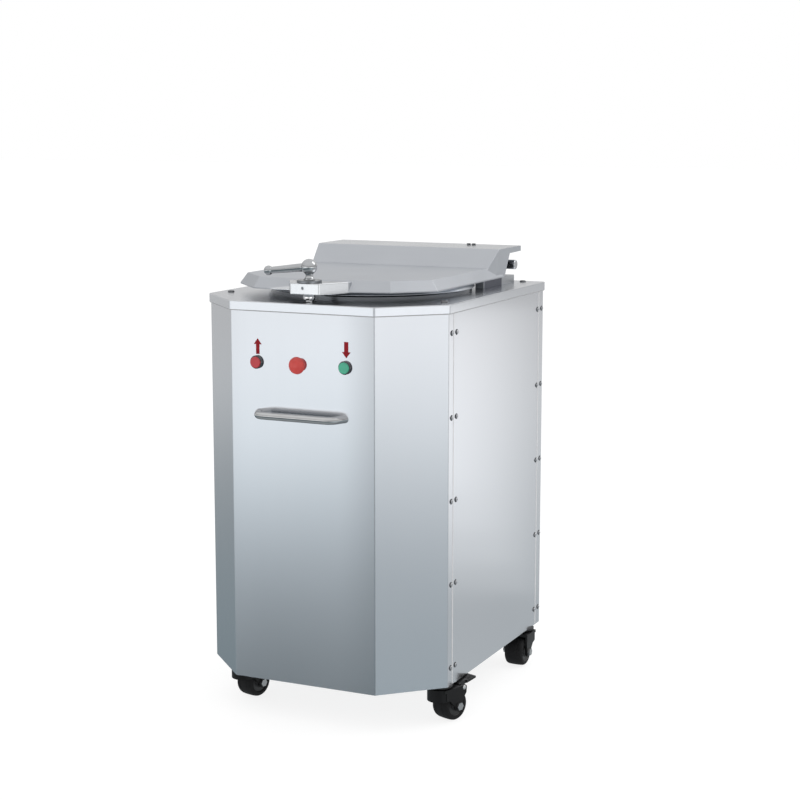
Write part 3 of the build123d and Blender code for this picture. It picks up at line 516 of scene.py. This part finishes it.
# ------------------------------------------------------------------ stage, light and camera
def floor():
    me = bpy.data.meshes.new("stage_floor")
    s = 40.0
    me.from_pydata([(-s, -s, 0), (s, -s, 0), (s, s, 0), (-s, s, 0)], [], [(0, 1, 2, 3)])
    o = bpy.data.objects.new("stage_floor", me)
    COL.objects.link(o)
    k = Mat("pale_floor").set(Metallic=0.0)
    k.b.inputs["Specular IOR Level"].default_value = 0.1
    k.b.inputs["Emission Color"].default_value = (1.0, 1.0, 1.0, 1.0)
    k.b.inputs["Emission Strength"].default_value = 0.84
    c = k.noise(1.2, 3.0, 0.5)
    k.color(k.ramp(c, [(0.3, (0.21, 0.21, 0.21)), (0.7, (0.23, 0.23, 0.23))]))
    k.rough(k.remap(c, 0.3, 0.7, 0.75, 0.85))
    me.materials.append(k.m)
    o.visible_glossy = False


floor()

world = bpy.data.worlds.new("studio")
SC.world = world
world.use_nodes = True
wt = world.node_tree
bg = next(n for n in wt.nodes if n.type == "BACKGROUND")
wtc = wt.nodes.new("ShaderNodeTexCoord")
sep = wt.nodes.new("ShaderNodeSeparateXYZ")
wt.links.new(wtc.outputs["Generated"], sep.inputs[0])


def wmath(op, a, b=None):
    n = wt.nodes.new("ShaderNodeMath")
    n.operation = op
    for i, v in enumerate((a, b)):
        if v is None:
            continue
        if isinstance(v, (int, float)):
            n.inputs[i].default_value = v
        else:
            wt.links.new(v, n.inputs[i])
    return n.outputs[0]


def wramp(fac, stops, lo, hi):
    """Grey ramp over lo..hi; stops are (place, value or colour)."""
    r = wt.nodes.new("ShaderNodeValToRGB")
    e = r.color_ramp.elements
    while len(e) < len(stops):
        e.new(0.5)
    for q, (x, v) in zip(e, stops):
        q.position = (x - lo) / (hi - lo)
        q.color = (*((v, v, v) if isinstance(v, (int, float)) else v), 1.0)
    wt.links.new(wmath("DIVIDE", wmath("SUBTRACT", fac, lo), hi - lo), r.inputs["Fac"])
    return r.outputs["Color"]


def wmix(a, b, fac):
    x = wt.nodes.new("ShaderNodeMix")
    x.data_type = "RGBA"
    wt.links.new(a, x.inputs[6])
    wt.links.new(b, x.inputs[7])
    wt.links.new(fac, x.inputs[0])
    return x.outputs[2]


# Studio surroundings: pale walls that darken towards the ground, a dim side behind the camera.
# Bearing in degrees from the front, to the right positive, brought into -170..190.
deg = wmath("MULTIPLY", wmath("ARCTAN2", sep.outputs["X"], wmath("MULTIPLY", sep.outputs["Y"], -1.0)), 180.0 / math.pi)
bearing = wmath("ADD", deg, wmath("MULTIPLY", wmath("LESS_THAN", deg, -170.0), 360.0))
HEIGHT = [-1.0, -0.60, -0.46, -0.40, -0.35, -0.31, -0.27, -0.23, -0.19, -0.15, -0.11, -0.07, -0.03, 0.02, 0.06]
BACKDROP = [0.42, 0.42, 0.28, 0.26, 0.30, 0.37, 0.48, 0.62, 0.78, 0.95, 1.02, 1.06, 1.08, 1.08, 1.08]
WALLS = [
    (-170, 1.0, BACKDROP),
    (-140, 1.0, [0.42, 0.42, 0.28, 0.25, 0.32, 0.42, 0.56, 0.72, 0.90, 1.04, 1.08, 1.08, 1.06, 1.06, 1.06]),
    (-118, 1.0, [0.42, 0.42, 0.31, 0.29, 0.30, 0.30, 0.34, 0.34, 0.42, 0.71, 0.58, 0.54, 0.80, 1.10, 1.20]),
    (-75, 0.8, [0.42, 0.42, 0.28, 0.25, 0.33, 0.44, 0.58, 0.70, 0.75, 0.75, 0.75, 0.75, 0.75, 0.75, 0.75]),
    (-28, 1.25, [0.42, 0.42, 0.26, 0.135, 0.106, 0.105, 0.10, 0.63, 1.78, 2.10, 1.66, 1.22, 1.26, 1.42, 1.44]),
    (20, 1.25, [0.42, 0.42, 0.27, 0.22, 0.20, 0.18, 0.20, 0.30, 0.44, 0.52, 0.56, 0.60, 0.66, 0.74, 0.80]),
    (65, 0.9, [0.42, 0.50, 0.84, 0.86, 0.60, 0.31, 0.24, 0.54, 1.18, 1.77, 2.00, 1.88, 1.45, 0.91, 0.45]),
    (110, 0.5, [0.42, 0.46, 0.54, 0.53, 0.51, 0.51, 0.54, 0.60, 0.67, 0.73, 0.75, 0.75, 0.73, 0.68, 0.63]),
    (155, 0.3, [0.42, 0.52, 0.70, 0.76, 0.77, 0.71, 0.61, 0.65, 0.77, 0.82, 0.67, 0.54, 0.48, 0.50, 0.60]),
    (190, 1.0, BACKDROP),
]


def wall_ramp(blue, levels):
    stops = []
    for z, v in zip(HEIGHT, levels):
        t = blue * max(0.0, min(1.0, (-0.12 - z) / 0.17))           # the low part a little bluer
        t *= 1.0 - 0.6 * max(0.0, min(1.0, (-0.40 - z) / 0.2))
        stops.append((z, (v * (1 - 0.27 * t), v * (1 - 0.085 * t), v)))
    return wramp(sep.outputs["Z"], stops, -1.0, 0.06)


below = wall_ramp(WALLS[0][1], WALLS[0][2])
for (b0, _, _), (b1, blue, levels) in zip(WALLS, WALLS[1:]):
    step = wt.nodes.new("ShaderNodeMapRange")
    step.inputs["From Min"].default_value = b0
    step.inputs["From Max"].default_value = b1
    wt.links.new(bearing, step.inputs["Value"])
    below = wmix(below, wall_ramp(blue, levels), step.outputs["Result"])
upper = wramp(sep.outputs["Z"], [(0.0, 1.0), (0.10, 0.56), (0.22, 0.53), (0.34, 0.84), (0.74, 0.95), (0.88, 0.95), (1.0, 0.95)], 0.0, 1.0)
climb = wramp(sep.outputs["Z"], [(0.062, 0.0), (0.11, 1.0)], 0.0, 1.0)
wt.links.new(wmix(below, upper, climb), bg.inputs["Color"])
# The backdrop itself is plain white, so the walls above only light the machine and show in its metal.
plain = wt.nodes.new("ShaderNodeBackground")
plain.inputs["Color"].default_value = (1.0, 1.0, 1.0, 1.0)
ray = wt.nodes.new("ShaderNodeLightPath")
either = wt.nodes.new("ShaderNodeMixShader")
wt.links.new(ray.outputs["Is Camera Ray"], either.inputs[0])
wt.links.new(bg.outputs[0], either.inputs[1])
wt.links.new(plain.outputs[0], either.inputs[2])
wt.links.new(either.outputs[0], next(n for n in wt.nodes if n.type == "OUTPUT_WORLD").inputs["Surface"])
bg.inputs["Strength"].default_value = 1.0


def softbox(name, loc, at, size, power, shape="SQUARE", size_y=None):
    li = bpy.data.lights.new(name, "AREA")
    li.shape = "RECTANGLE" if size_y else shape
    li.size = size
    if size_y:
        li.size_y = size_y
    li.energy = power
    o = bpy.data.objects.new(name, li)
    o.location = loc
    o.rotation_euler = (Vector(at) - Vector(loc)).to_track_quat("-Z", "Y").to_euler()
    COL.objects.link(o)
    return o


# Four overlapping soft panels to the right rear; their edges are stepped so that the light fades softly.
SIDE_AT, SIDE_E = Vector((0.612, 0.843, 0.0)), Vector((0.93, -0.37, 0.0))
for k, (e0, z0) in enumerate(((-0.10, 0.02), (-0.03, 0.10), (0.03, 0.20), (0.10, 0.32))):
    e1, z1 = 0.95, 0.87
    c = SIDE_AT + SIDE_E * ((e0 + e1) / 2) + Vector((0.37, 0.93, 0.0)) * (0.02 * k) + Vector((0, 0, (z0 + z1) / 2))
    w, h = e1 - e0, z1 - z0
    softbox("side_right_%d" % k, c, c - Vector((0.37, 0.93, 0.0)), w, 0.15 * math.pi * w * h, size_y=h)
softbox("top", (2.3, 1.5, 3.5), (0, 0.1, 0.8), 2.2, 24)

cam_data = bpy.data.cameras.new("camera")
cam = bpy.data.objects.new("camera", cam_data)
COL.objects.link(cam)
AZ, EL, DIST = math.radians(25.03), math.radians(9.21), 4.847 * 0.9
BACK = Vector((math.sin(AZ) * math.cos(EL), -math.cos(AZ) * math.cos(EL), math.sin(EL)))
AIM = Vector((0.07674, YS, 0.700 * 0.9 + 0.092))
cam.location = AIM + BACK * DIST
cam.rotation_euler = (-BACK).to_track_quat("-Z", "Y").to_euler()
cam_data.sensor_width = 36.0
cam_data.lens = 1772.8 / 800 * 36.0
cam_data.clip_start, cam_data.clip_end = 0.05, 200.0
SC.camera = cam
SC.view_settings.view_transform = "Standard"
SC.view_settings.look = "None"
